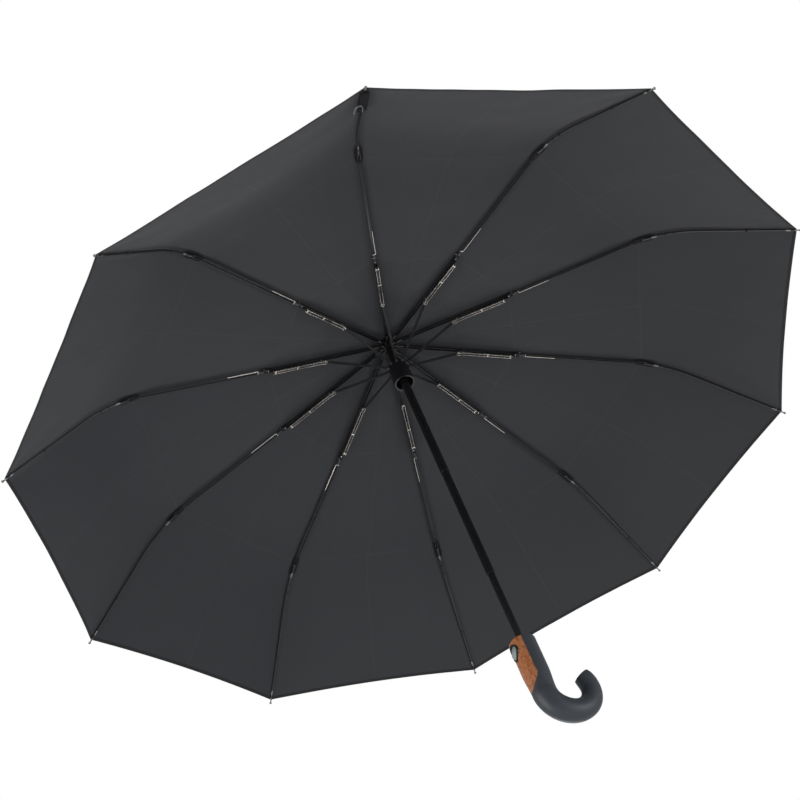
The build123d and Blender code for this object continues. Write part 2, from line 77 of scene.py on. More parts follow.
# ==== The studio ====
# The umbrella is held up open over a pale floor, and it is seen from below, past the crook.
# Large soft lamps stand round it, and the far backdrop is a plain white one.
camera_place = Vector((-0.6466, -1.0610, -0.7078))
camera_looks = Vector((0.3619, 0.6103, 0.7047)).normalized()
camera_up = Vector((0.0185, -0.7605, 0.6491))
camera_right = camera_looks.cross(camera_up).normalized()
camera_data = bpy.data.cameras.new("camera")
camera_data.lens = 59.86
camera_data.sensor_width = 36.0
camera = bpy.data.objects.new("camera", camera_data)
bpy.context.scene.collection.objects.link(camera)
turn = Matrix((camera_right, camera_right.cross(camera_looks), -camera_looks)).transposed()
camera.matrix_world = Matrix.Translation(camera_place) @ turn.to_4x4()
bpy.context.scene.camera = camera
bpy.context.scene.view_settings.view_transform = "Standard"

world = bpy.data.worlds.new("backdrop")
bpy.context.scene.world = world
world.use_nodes = True
backdrop = world.node_tree
seen = backdrop.nodes["Background"]
seen.inputs["Color"].default_value = (1, 1, 1, 1)
felt = backdrop.nodes.new("ShaderNodeBackground")
felt.inputs["Color"].default_value = (0.93, 0.96, 1.0, 1)
felt.inputs["Strength"].default_value = 0.42
path = backdrop.nodes.new("ShaderNodeLightPath")
choice = backdrop.nodes.new("ShaderNodeMixShader")
backdrop.links.new(path.outputs["Is Camera Ray"], choice.inputs["Fac"])
backdrop.links.new(felt.outputs[0], choice.inputs[1])
backdrop.links.new(seen.outputs[0], choice.inputs[2])
backdrop.links.new(choice.outputs[0], backdrop.nodes["World Output"].inputs["Surface"])


def softbox(name, place, aim, size, power, colour=(1, 1, 1)):
    lamp = bpy.data.lights.new(name, "AREA")
    lamp.shape = "DISK"
    lamp.size = size
    lamp.energy = power
    lamp.color = colour
    stand = bpy.data.objects.new(name, lamp)
    bpy.context.scene.collection.objects.link(stand)
    stand.location = place
    stand.rotation_euler = (Vector(aim) - Vector(place)).to_track_quat("-Z", "Y").to_euler()


dome_centre = (0, 0, 0.5)
softbox("lamp_left", (-2.2, 0.3, -0.2), dome_centre, 1.6, 27, (1.0, 0.98, 0.95))
softbox("lamp_right", (1.5, -1.9, -0.3), dome_centre, 1.4, 25, (0.98, 0.99, 1.0))
softbox("lamp_back", (0.6, 2.2, -0.1), dome_centre, 1.6, 11)
softbox("lamp_above", (-0.8, -1.2, 2.6), dome_centre, 2.2, 60)

floor_height = cad_box[0].z - 1.05
bpy.ops.mesh.primitive_plane_add(size=60, location=(0, 0, floor_height))
floor = bpy.context.object
floor.name = "studio_floor"
floor_paint = bpy.data.materials.new("studio_floor")
floor_paint.use_nodes = True
floor_paint.node_tree.nodes["Principled BSDF"].inputs["Base Color"].default_value = (0.82, 0.82, 0.82, 1)
floor_paint.node_tree.nodes["Principled BSDF"].inputs["Roughness"].default_value = 0.8
floor.data.materials.append(floor_paint)


# ==== The shaft ====
# Three steel tubes, each enamelled gloss black, that slide into one another. Each larger tube has
# a rolled lip at its lower end, and a sprung stud stands just above the middle tube's end.
class Wire:
    """A socket of a material's node tree, so that shader sums read as plain expressions."""

    def __init__(self, tree, socket):
        self.tree = tree
        self.socket = socket

    def add(self, kind, settings, values, output=0):
        node = self.tree.nodes.new(kind)
        for name, setting in settings.items():
            if name == "stops":
                ramp = node.color_ramp.elements
                ramp[0].position, ramp[0].color = setting[0]
                ramp[-1].position, ramp[-1].color = setting[-1]
                for position, colour in setting[1:-1]:
                    ramp.new(position).color = colour
            else:
                setattr(node, name, setting)
        for name, value in values.items():
            if isinstance(value, Wire):
                self.tree.links.new(value.socket, node.inputs[name])
            else:
                node.inputs[name].default_value = value
        return Wire(self.tree, node.outputs[output])

    def sum(self, operation, *terms):
        return self.add("ShaderNodeMath", {"operation": operation}, dict(enumerate(terms)))

    def __add__(self, other):
        return self.sum("ADD", self, other)

    def __radd__(self, other):
        return self.sum("ADD", other, self)

    def __sub__(self, other):
        return self.sum("SUBTRACT", self, other)

    def __mul__(self, other):
        return self.sum("MULTIPLY", self, other)

    def __rmul__(self, other):
        return self.sum("MULTIPLY", other, self)

    def __gt__(self, other):
        return self.sum("GREATER_THAN", self, other)

    def __abs__(self):
        return self.sum("ABSOLUTE", self)

    def __pow__(self, power):
        return self.sum("POWER", self, power)

    def wave(self):
        return self.sum("SINE", self)

    def at_most(self, high):
        return self.sum("MINIMUM", self, high)

    def fade(self, start, end):
        """1 at start, falling smoothly to 0 at end."""
        settings = {"interpolation_type": "SMOOTHSTEP"}
        return self.add("ShaderNodeMapRange", settings,
                        {"Value": self, "From Min": start, "From Max": end, "To Min": 1.0, "To Max": 0.0})

    def noise(self, scale, detail=3.0, roughness=0.5, distortion=0.0):
        values = {"Vector": self, "Scale": scale, "Detail": detail, "Roughness": roughness,
                  "Distortion": distortion}
        return self.add("ShaderNodeTexNoise", {}, values)

    def part(self, axis):
        """One coordinate of a vector."""
        return self.add("ShaderNodeSeparateXYZ", {}, {"Vector": self}, "XYZ".index(axis))

    def scaled(self, x, y, z):
        return self.add("ShaderNodeVectorMath", {"operation": "MULTIPLY"}, {0: self, 1: (x, y, z)})

    def mix(self, first, second):
        """The two colours mixed by this value, from first at 0 to second at 1."""
        first, second = (colour if isinstance(colour, Wire) else (*colour, 1) for colour in (first, second))
        return self.add("ShaderNodeMix", {"data_type": "RGBA"}, {0: self, 6: first, 7: second}, 2)

    def bump(self, strength, distance):
        return self.add("ShaderNodeBump", {}, {"Height": self, "Strength": strength, "Distance": distance})


def material_of(name, **constants):
    """A new material with its shader's fixed values, the shader, and its object coordinates."""
    material = bpy.data.materials.new(name)
    material.use_nodes = True
    tree = material.node_tree
    shader = tree.nodes["Principled BSDF"]
    for socket, value in constants.items():
        shader.inputs[socket.replace("_", " ")].default_value = value
    coordinates = tree.nodes.new("ShaderNodeTexCoord")
    return material, shader, Wire(tree, coordinates.outputs["Object"])


def feed(shader, **wires):
    for socket, wire in wires.items():
        wire.tree.links.new(wire.socket, shader.inputs[socket.replace("_", " ")])


cad_nodes = frame["nodes"]


def paint(node, material):
    """Gives a CAD node its finish."""
    mesh = cad_nodes[node].data
    mesh.materials.clear()
    mesh.materials.append(material)


def gloss_enamel():
    """Black enamel baked on a drawn tube: a faint orange peel, and fine rubs along the shaft."""
    material, shader, place = material_of("gloss_enamel", Metallic=0.0, Specular_IOR_Level=0.42)
    peel = place.noise(900, 2)
    rubs = place.scaled(1, 1, 0.02).noise(1400, 4, 0.6)
    feed(shader, Base_Color=rubs.mix((0.0035, 0.0037, 0.0042), (0.010, 0.010, 0.011)))
    feed(shader, Roughness=0.16 + 0.22 * rubs)
    feed(shader, Normal=(peel * 0.6 + rubs * 0.4).bump(0.06, 0.0002))
    return material


class Solid:
    """Closed shells gathered in one mesh. An outline is (along, up) and reaches across from low to high."""

    def __init__(self):
        self.mesh = bmesh.new()

    def skin(self, rings, closed=False):
        """Joins rings of points with faces, and closes both ends unless the rings meet."""
        rows = [[self.mesh.verts.new(point) for point in ring] for ring in rings]
        pairs = list(zip(rows, rows[1:]))
        if closed:
            pairs.append((rows[-1], rows[0]))
        for first, second in pairs:
            for index in range(len(first)):
                after = (index + 1) % len(first)
                self.mesh.faces.new((first[index], first[after], second[after], second[index]))
        if not closed:
            self.mesh.faces.new(rows[0][::-1])
            self.mesh.faces.new(rows[-1])

    def plate(self, outline, low, high):
        self.skin([[(along, across, up) for along, up in outline] for across in (low, high)])

    def pair(self, outline, inner, outer):
        self.plate(outline, inner, outer)
        self.plate(outline, -outer, -inner)

    def bar(self, start, end, section):
        """A straight bar along x, with its section as (across, up)."""
        self.skin([[(along, across, up) for across, up in section] for along in (start, end)])

    def turned(self, profile, place=Matrix(), sides=32, hollow=False):
        """A piece turned on a lathe about Z. A hollow one's profile closes on itself."""
        rings = []
        for radius, height in profile:
            angles = [2 * pi * side / sides for side in range(sides)]
            rings.append([place @ Vector((radius * cos(angle), radius * sin(angle), height))
                          for angle in angles])
        self.skin(rings, hollow)

    def rivet(self, along, up, radius, half_length, dome=0.35):
        """A rivet across the rib, with a low dome on each end."""
        edge = half_length - dome * radius
        profile = [(0.3 * radius, -half_length), (0.8 * radius, -edge - 0.1 * radius), (radius, -edge),
                   (radius, edge), (0.8 * radius, edge + 0.1 * radius), (0.3 * radius, half_length)]
        across = Matrix.Translation((along, 0, up)) @ Matrix.Rotation(pi / 2, 4, "X")
        self.turned(profile, across, 14)

    def wire(self, points, radii, sides=10):
        """A round wire through points, with its radius at each."""
        rings = []
        for index, point in enumerate(points):
            ahead = points[min(index + 1, len(points) - 1)] - points[max(index - 1, 0)]
            side = ahead.cross(Vector((0, 1, 0)))
            if side.length < 1e-9:
                side = ahead.cross(Vector((0, 0, 1)))
            side.normalize()
            other = ahead.cross(side).normalized()
            angles = [2 * pi * step / sides for step in range(sides)]
            rings.append([point + radii[index] * (side * cos(a) + other * sin(a)) for a in angles])
        self.skin(rings)

    def made(self, name, material, bevel=0.0, crease=38):
        """The finished object: normals out, edges eased, smooth between its creases."""
        bmesh.ops.recalc_face_normals(self.mesh, faces=self.mesh.faces)
        if bevel:
            sharp = [edge for edge in self.mesh.edges if edge.calc_face_angle(0) > radians(crease)]
            bmesh.ops.bevel(self.mesh, geom=sharp, offset=bevel, segments=2, profile=0.5, affect="EDGES",
                            clamp_overlap=True)
        data = bpy.data.meshes.new(name)
        self.mesh.to_mesh(data)
        self.mesh.free()
        data.shade_smooth()
        data.set_sharp_from_angle(angle=radians(crease))
        data.materials.append(material)
        piece = bpy.data.objects.new(name, data)
        bpy.context.scene.collection.objects.link(piece)
        return piece


black_enamel = gloss_enamel()
for node in ("lower_tube", "middle_tube", "upper_tube"):
    paint(node, black_enamel)


def bright_steel(name, tint, rough, marks):
    """Bare bright metal: fine drawing marks that change its sheen, and a little tarnish."""
    material, shader, place = material_of(name, Metallic=1.0)
    drawn = place.scaled(1, 1, 0.08).noise(marks, 4, 0.6)
    tarnish = place.noise(60, 3)
    dull = [0.72 * value for value in tint]
    feed(shader, Base_Color=(tarnish * tarnish).mix(tint, dull))
    feed(shader, Roughness=rough + 0.16 * drawn)
    feed(shader, Normal=drawn.bump(0.08, 0.0001))
    return material


nickel = bright_steel("bright_nickel", (0.78, 0.77, 0.75), 0.16, 2600)
mm = 0.001
lip_radius = 0.35 * mm
for node, body, wall in (("middle_tube", "middle_shaft", 0.6 * mm), ("upper_tube", "upper_shaft", 0.45 * mm)):
    end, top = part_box(node)
    outer = top.x
    lip = Solid()
    angles = [radians(30 * step) for step in range(12)]
    middle = outer - 0.3 * wall
    lip.turned([(middle + lip_radius * cos(a), end.z + lip_radius * (0.4 + sin(a))) for a in angles],
               sides=64, hollow=True)
    piece = lip.made(f"{node}_lip", black_enamel)
    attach(piece, body)
paint("tube_catch", nickel)


# ==== The opening spring ====
# A long coil of spring wire inside the upper tube, between the middle tube's end and the crown.
# It is wound by turns along the shaft, and it shortens when the tubes slide together.
spring_low, spring_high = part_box("opening_spring")
wire_thickness = 0.55 * mm
spring_turns = 36


def node_tree(name, sockets):
    """An empty geometry tree with its geometry sockets and the named inputs."""
    tree = bpy.data.node_groups.new(name, "GeometryNodeTree")
    tree.interface.new_socket("Geometry", in_out="INPUT", socket_type="NodeSocketGeometry")
    tree.interface.new_socket("Geometry", in_out="OUTPUT", socket_type="NodeSocketGeometry")
    for socket, kind in sockets.items():
        tree.interface.new_socket(socket, in_out="INPUT", socket_type="NodeSocket" + kind)
    return tree, tree.nodes.new("NodeGroupInput"), tree.nodes.new("NodeGroupOutput")


def grow(tree, kind, values, **settings):
    """Adds a geometry node, with its settings and its inputs' values or links."""
    node = tree.nodes.new(kind)
    for name, setting in settings.items():
        setattr(node, name, setting)
    for name, value in values.items():
        if isinstance(value, bpy.types.NodeSocket):
            tree.links.new(value, node.inputs[name])
        else:
            node.inputs[name].default_value = value
    return node


def grown(name, base, tree, values):
    """The plain mesh that a tree makes of a base mesh, with its named inputs set."""
    holder = bpy.data.objects.new(name + "_holder", base)
    bpy.context.scene.collection.objects.link(holder)
    modifier = holder.modifiers.new(name, "NODES")
    modifier.node_group = tree
    for item in tree.interface.items_tree:
        if item.in_out == "INPUT" and item.name in values:
            modifier[item.identifier] = values[item.name]
    graph = bpy.context.evaluated_depsgraph_get()
    data = bpy.data.meshes.new_from_object(holder.evaluated_get(graph))
    holder.modifiers.remove(modifier)
    bpy.data.objects.remove(holder)
    data.name = name
    piece = bpy.data.objects.new(name, data)
    bpy.context.scene.collection.objects.link(piece)
    return piece


def coil_tree():
    """A helix of wire standing on the tree's base height."""
    sockets = {"Turns": "Float", "Height": "Float", "Radius": "Float", "Wire": "Float", "Base": "Float",
               "Finish": "Material"}
    tree, given, result = node_tree("wound_coil", sockets)
    given = given.outputs
    helix = grow(tree, "GeometryNodeCurveSpiral", {"Resolution": 16, "Rotations": given["Turns"],
                 "Start Radius": given["Radius"], "End Radius": given["Radius"], "Height": given["Height"]})
    section = grow(tree, "GeometryNodeCurvePrimitiveCircle", {"Resolution": 8, "Radius": given["Wire"]})
    wire = grow(tree, "GeometryNodeCurveToMesh", {"Curve": helix.outputs[0],
                "Profile Curve": section.outputs[0], "Fill Caps": True})
    lift = grow(tree, "ShaderNodeCombineXYZ", {"Z": given["Base"]})
    moved = grow(tree, "GeometryNodeTransform", {"Geometry": wire.outputs[0], "Translation": lift.outputs[0]})
    whole = grow(tree, "GeometryNodeRealizeInstances", {"Geometry": moved.outputs[0]})
    done = grow(tree, "GeometryNodeSetMaterial", {"Geometry": whole.outputs[0], "Material": given["Finish"]})
    tree.links.new(done.outputs[0], result.inputs[0])
    return tree


coil = coil_tree()
spring_radius = spring_high.x - wire_thickness
spring = grown("opening_spring_coil", bpy.data.meshes.new("spring_base"), coil,
               {"Turns": float(spring_turns), "Height": spring_high.z - spring_low.z - 2 * wire_thickness,
                "Radius": spring_radius, "Wire": wire_thickness, "Base": spring_low.z + wire_thickness,
                "Finish": nickel})
spring.data.shade_smooth()
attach(spring, "upper_shaft")
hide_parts("opening_spring")
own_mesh(spring)


# ==== The crown, its cap and the runner ====
# Moulded black nylon. Ten slots round the crown and the runner hold the ribs' eyes on a ring of
# wire, the runner's cup has a dark metal band round its edge, and the cap closes the canopy's centre.
def moulded_nylon(name, colour, rough):
    """Glass-filled nylon from a mould: a fine spark-eroded grain and slightly cloudy gloss."""
    material, shader, place = material_of(name, Specular_IOR_Level=0.4)
    grain = place.noise(2600, 2)
    cloud = place.noise(140, 3)
    light = [1.5 * value for value in colour]
    feed(shader, Base_Color=cloud.mix(colour, light))
    feed(shader, Roughness=rough + 0.18 * cloud + 0.08 * grain)
    feed(shader, Normal=grain.bump(0.18, 0.00012))
    return material


nylon = moulded_nylon("black_nylon", (0.006, 0.006, 0.007), 0.26)
for node in ("crown", "runner", "top_cap", "cap_seat"):
    paint(node, nylon)
for node in ("crown_wire", "runner_wire"):
    paint(node, nickel)
paint("runner_ring", bright_steel("gun_metal", (0.10, 0.10, 0.105), 0.24, 2200))


# ==== The canopy ====
# Ten gores of plain-woven black pongee, each cut as a long triangle and sewn to its neighbours along
# the ribs. Each gore's two halves go with the ribs on their own side, and every half is in three
# lengths, because the ribs fold in three and the cloth pleats against them.
rib_names = range(10)
joints = {joint["name"]: joint for joint in frame["joints"]}
rib_azimuths = []
for number in rib_names:
    x, y, z = joints[f"knee_{number}"]["pos_m"]
    rib_azimuths.append(atan2(y, x))
half_gore = pi / len(rib_azimuths)


def radius_and_height(joint):
    x, y, z = joints[joint]["pos_m"]
    return Vector((hypot(x, y), z))


crown_pivot = radius_and_height("canopy_fold")
runner_pivot = radius_and_height("runner_travel")
knee = radius_and_height("knee_0")
outer_knee = radius_and_height("outer_knee_0")
top_slope = 12.0
middle_slope = 11.0
tail_start_slope = 24.0
tail_end_slope = 41.9
top_length = 176.7 * mm
middle_length = 185.3 * mm
tail_block = 12.0 * mm
tail_bend = 60.0 * mm
tail_straight = 127.3 * mm
tail_length = tail_block + tail_bend + tail_straight
cloth_lift_crown = 8.0 * mm
cloth_lift_top = 4.7 * mm
cloth_lift_middle = 1.8 * mm
cloth_lift_outer_knee = 0.9 * mm
cloth_lift_bend = 4.2 * mm
cloth_lift_tail = 2.6 * mm
cloth_lift_corner = 1.7 * mm
cloth_hole = 5.0 * mm
cloth_thickness = 0.25 * mm


def along_slope(origin, distance, lift, slope):
    """Radius and height of a point so far along a sloping rib and so far above its line."""
    angle = radians(slope)
    out = distance * cos(angle) + lift * sin(angle)
    up = lift * cos(angle) - distance * sin(angle)
    return origin + Vector((out, up))


def tail_at(distance, lift=0.0):
    """Radius and height of a point on the tail rib, which bends once and then runs straight."""
    slope = tail_start_slope
    bend_radius = tail_bend / radians(tail_end_slope - tail_start_slope)
    point = along_slope(outer_knee, min(distance, tail_block), 0, slope)
    if distance > tail_block:
        slope += degrees(min(distance - tail_block, tail_bend) / bend_radius)
        start, end = radians(tail_start_slope), radians(slope)
        point += bend_radius * Vector((sin(end) - sin(start), cos(end) - cos(start)))
    if distance > tail_block + tail_bend:
        point = along_slope(point, distance - tail_block - tail_bend, 0, slope)
    return along_slope(point, 0, lift, slope)


cloth_line = [Vector((cloth_hole, crown_pivot.y + cloth_lift_crown))]
cloth_line += [along_slope(crown_pivot, share * top_length, cloth_lift_top, top_slope)
               for share in (0.25, 0.62, 1.0)]
cloth_line.append(along_slope(knee, 0.5 * middle_length, cloth_lift_middle, middle_slope))
cloth_line.append(along_slope(knee, middle_length - 14 * mm, cloth_lift_outer_knee, middle_slope))
cloth_line.append(tail_at(tail_block + 0.6 * tail_bend, cloth_lift_bend))
cloth_line.append(tail_at(tail_block + tail_bend + 0.5 * tail_straight, cloth_lift_tail))
cloth_line.append(tail_at(tail_length, cloth_lift_corner))
hem_place = len(cloth_line) - 1
knee_place = 3
outer_knee_place = 5.23
cloth_splits = (0, knee_place, outer_knee_place, hem_place)


def line_at(place):
    """Radius and height on a smooth curve through the cloth line's points, which place counts."""
    index = max(0, min(int(place), hem_place - 1))
    share = place - index
    points = [cloth_line[max(0, min(step, hem_place))] for step in range(index - 1, index + 3)]
    if index == 0:
        points[0] = 2 * points[1] - points[2]
    if index == hem_place - 1:
        points[3] = 2 * points[2] - points[1]
    before, start, end, after = points
    bend = (2 * before - 5 * start + 4 * end - after) * share ** 2
    twist = (3 * start - before - 3 * end + after) * share ** 3
    return 0.5 * (2 * start + (end - before) * share + bend + twist)


def cloth_at(rib, place, across):
    """A point of the cloth: across is 0 on the rib, and 1 or -1 half way to the next rib on that side."""
    radius, height = line_at(place)
    step = line_at(place + 0.05) - line_at(place - 0.05)
    run, fall = step.normalized()
    side = 1 if across >= 0 else -1
    azimuth = rib_azimuths[rib]
    middle = azimuth + side * half_gore
    off_middle = (1 - abs(across)) * half_gore
    chord = radius * cos(half_gore) / cos(off_middle)
    angle = middle - side * off_middle
    point = Vector((chord * cos(angle), chord * sin(angle), height))
    outward = Vector((cos(middle), sin(middle), 0))
    normal = outward * -fall + Vector((0, 0, run))
    down_gore = outward * run + Vector((0, 0, fall))
    free = 1 - (1 - abs(across)) ** 2
    share = place / hem_place
    width = 2 * radius * sin(half_gore)
    sag = 0.028 * width * sin(pi * share ** 1.2)
    ripple = 1.5 * mm * noise.noise(point * 11) + 0.7 * mm * noise.noise(point * 27 + Vector((3, 1, 2)))
    corner = line_at(hem_place)
    corner_point = Vector((corner.x * cos(azimuth), corner.x * sin(azimuth), corner.y))
    reach = (point - corner_point).length
    spread = abs(across) * width / 2 / max(reach, 1e-6)
    fold = 1.3 * mm * sin(9.0 * spread) * exp(-reach / (60 * mm)) * (1 - exp(-reach / (12 * mm)))
    point -= normal * (sag * free + ripple * free * min(1, 8 * share) + fold * min(1, 5 * abs(across)))
    return point - down_gore * (4.5 * mm * free * share ** 8)


def cloth_frame(rib, place, across):
    """Point, outward normal and the direction down the cloth."""
    point = cloth_at(rib, place, across)
    side = 1 if across >= 0 else -1
    inward = max(0.02, min(0.98, abs(across))) * side
    lower = cloth_at(rib, min(place + 0.03, hem_place), inward)
    down = lower - cloth_at(rib, min(place, hem_place - 0.03), inward)
    over = cloth_at(rib, place, inward + 0.02) - cloth_at(rib, place, inward - 0.02)
    normal = down.cross(over).normalized()
    return point, normal if normal.z > 0 else -normal, down.normalized()


def pongee():
    """Woven polyester: fine threads, the sewn seams on the ribs, and faint creases where it was folded, each
    crease with a painted highlight along it.
    """
    material, shader, place = material_of("black_pongee", Sheen_Weight=0.10, Sheen_Roughness=0.5,
                                          Specular_IOR_Level=0.32)
    cut = place.add("ShaderNodeUVMap", {"uv_map": "cut"}, {})
    to_rib = place.add("ShaderNodeAttribute", {"attribute_name": "rib_distance"}, {}, 2)
    to_hem = place.add("ShaderNodeAttribute", {"attribute_name": "hem_distance"}, {}, 2)
    across, along = cut.part("X"), cut.part("Y")
    outer_knee_to_hem = 207 * mm
    knee_to_hem = 392 * mm
    quarter_fold = 52 * mm
    thread = 2 * pi / (0.55 * mm)
    weave = (across * thread).wave() * 0.5 + (along * thread).wave() * 0.5
    slub = cut.scaled(1, 0.03, 1).noise(900, 3, 0.6) + cut.scaled(0.03, 1, 1).noise(900, 3, 0.6)
    blotch = place.noise(5, 3)
    middle_crease = abs(across).fade(0.0, 1.6 * mm)
    knee_crease = abs(to_hem - outer_knee_to_hem).fade(0.0, 2.2 * mm)
    knee_crease += abs(to_hem - knee_to_hem).fade(0.0, 2.2 * mm)
    quarter = abs(to_rib - quarter_fold).fade(0.0, 1.5 * mm)
    creases_and_highlight = middle_crease + knee_crease * 0.8 + quarter * 0.5
    seam = to_rib.fade(1.6 * mm, 2.6 * mm)
    stitch = abs(to_rib - 1.9 * mm).fade(0.0, 0.5 * mm) * ((along * (2 * pi / (3 * mm))).wave() > -0.4)
    shade = (blotch * 0.6 + slub * 0.35).at_most(1.0)
    cloth = shade.mix((0.0212, 0.0221, 0.0258), (0.0275, 0.0284, 0.0318))
    cloth = (seam * 0.5 + stitch * 0.5).mix(cloth, (0.012, 0.012, 0.013))
    # Painted highlight: the cloth is mixed towards a lighter grey along each fold crease, besides the
    # crease's relief.
    feed(shader, Base_Color=(creases_and_highlight * 0.16).mix(cloth, (0.052, 0.053, 0.055)))
    feed(shader, Roughness=0.55 + 0.12 * slub - 0.06 * creases_and_highlight)
    relief = weave * 0.25 + slub * 0.5 + creases_and_highlight * 1.6 + seam * 1.2 - stitch * 0.8
    feed(shader, Normal=relief.bump(0.22, 0.0003))
    return material


black_pongee = pongee()
cloth_rows = {"top": 18, "middle": 24, "tail": 28}
cloth_columns = 14


def cloth_half(name, rib, side, start, end, rows):
    """Half a gore from one place on its rib to another, as a thin closed sheet."""
    lengths = [0.0]
    for row in range(rows):
        lower = line_at(start + (end - start) * row / rows)
        lengths.append(lengths[-1] + (line_at(start + (end - start) * (row + 1) / rows) - lower).length)
    to_hem = sum((line_at(end + (hem_place - end) * (step + 1) / 40)
                  - line_at(end + (hem_place - end) * step / 40)).length for step in range(40))
    frames, cuts = [], []
    for row in range(rows + 1):
        place = start + (end - start) * row / rows
        radius = line_at(place).x
        for column in range(cloth_columns + 1):
            share = column / cloth_columns
            frames.append(cloth_frame(rib, place, side * share))
            from_middle = radius * cos(half_gore) * tan((1 - share) * half_gore)
            hem_distance = to_hem + lengths[-1] - lengths[row]
            cuts.append((-side * from_middle, hem_distance, radius * sin(half_gore) - from_middle))
    count = len(frames)
    points = [point for point, normal, down in frames]
    points += [point - cloth_thickness * normal for point, normal, down in frames]
    faces, normals, loops = [], [], []

    def add(corners, facing):
        faces.append(corners)
        for corner in corners:
            loops.append(corner % count)
            if facing:
                normals.append(facing * frames[corner % count][1])
            else:
                a, b, c = (points[corners[step]] for step in range(3))
                normals.append((b - a).cross(c - b).normalized())

    wide = cloth_columns + 1
    for row in range(rows):
        for column in range(cloth_columns):
            first = row * wide + column
            corners = (first, first + wide, first + wide + 1, first + 1)
            corners = corners if side > 0 else corners[::-1]
            add(corners, 1)
            add(tuple(corner + count for corner in corners[::-1]), -1)
    edge = [column for column in range(wide)] + [row * wide + cloth_columns for row in range(1, rows + 1)]
    edge += [rows * wide + column for column in range(cloth_columns - 1, -1, -1)]
    edge += [row * wide for row in range(rows - 1, 0, -1)]
    for index, corner in enumerate(edge):
        after = edge[(index + 1) % len(edge)]
        wall = (corner, after, after + count, corner + count)
        add(wall if side > 0 else wall[::-1], 0)
    data = bpy.data.meshes.new(name)
    data.from_pydata(points, [], faces)
    layer = data.uv_layers.new(name="cut")
    for loop, corner in zip(layer.data, loops):
        loop.uv = cuts[corner][:2]
    for title, item in (("rib_distance", 2), ("hem_distance", 1)):
        values = data.attributes.new(title, "FLOAT", "POINT")
        values.data.foreach_set("value", [cut[item] for cut in cuts] * 2)
    data.shade_smooth()
    data.normals_split_custom_set(normals)
    data.materials.append(black_pongee)
    piece = bpy.data.objects.new(name, data)
    bpy.context.scene.collection.objects.link(piece)
    inner_width = line_at(start).x * sin(half_gore)
    outer_width = line_at(end).x * sin(half_gore)
    length = lengths[-1]
    return piece, (max(outer_width, 0.01), length), 0.5 * (inner_width + outer_width) * length


cloth_pieces = {}
for rib in rib_names:
    for side, side_name in ((1, "left"), (-1, "right")):
        for index, (length_name, rows) in enumerate(cloth_rows.items()):
            name = f"canopy_{length_name}_{rib}_{side_name}"
            start, end = cloth_splits[index:index + 2]
            piece, flat, area = cloth_half(name, rib, side, start, end, rows)
            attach(piece, f"{length_name}_rib_{rib}")
            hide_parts("canopy")
            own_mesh(piece)
            cloth_pieces[name] = (piece, flat, area)


# ==== The hem ====
# The canopy's edge is turned in twice and sewn with one row of thread, so it is thicker, and its cloth is
# painted darker as painted shade. Each half gore has its own length of hem, which folds with its part of the
# canopy.
hem_width = 4.6 * mm
hem_thickness = 0.95 * mm
hem_steps = 20
stitch_pitch = 2.8 * mm


def turned_cloth():
    """Turned cloth with the same weave, painted a little darker: painted shade along the thick turned edge.
    """
    material, shader, place = material_of("turned_hem", Sheen_Weight=0.08, Specular_IOR_Level=0.3)
    weave = place.noise(1500, 3, 0.6)
    pucker = place.noise(240, 2)
    # Painted shade: the hem's cloth is painted darker than the canopy's cloth.
    feed(shader, Base_Color=weave.mix((0.009, 0.0095, 0.011), (0.016, 0.0165, 0.018)))
    feed(shader, Roughness=0.6 + 0.15 * weave)
    feed(shader, Normal=(weave * 0.4 + pucker).bump(0.3, 0.0004))
    return material


def sewing_tree():
    """Short stitches laid end to end along a line of edges."""
    sockets = {"Pitch": "Float", "Thread": "Float", "Finish": "Material"}
    tree, given, result = node_tree("sewn_line", sockets)
    given = given.outputs
    line = grow(tree, "GeometryNodeMeshToCurve", {"Mesh": given["Geometry"]})
    spaced = grow(tree, "GeometryNodeResampleCurve", {"Curve": line.outputs[0], "Length": given["Pitch"]},
                  mode="LENGTH")
    tangent = grow(tree, "GeometryNodeInputTangent", {})
    aim = grow(tree, "FunctionNodeAlignRotationToVector", {"Vector": tangent.outputs[0]}, axis="Z")
    long = grow(tree, "ShaderNodeMath", {0: given["Pitch"], 1: 0.62}, operation="MULTIPLY")
    stitch = grow(tree, "GeometryNodeMeshCylinder", {"Vertices": 5, "Radius": given["Thread"],
                  "Depth": long.outputs[0]})
    sewn = grow(tree, "GeometryNodeInstanceOnPoints", {"Points": spaced.outputs[0],
                "Instance": stitch.outputs["Mesh"], "Rotation": aim.outputs[0]})
    whole = grow(tree, "GeometryNodeRealizeInstances", {"Geometry": sewn.outputs[0]})
    done = grow(tree, "GeometryNodeSetMaterial", {"Geometry": whole.outputs[0], "Material": given["Finish"]})
    tree.links.new(done.outputs[0], result.inputs[0])
    return tree


def joined(name, pieces):
    """One object from several, each keeping its own finish."""
    with bpy.context.temp_override(active_object=pieces[0], selected_editable_objects=pieces):
        bpy.ops.object.join()
    pieces[0].name = name
    pieces[0].data.name = name
    return pieces[0]


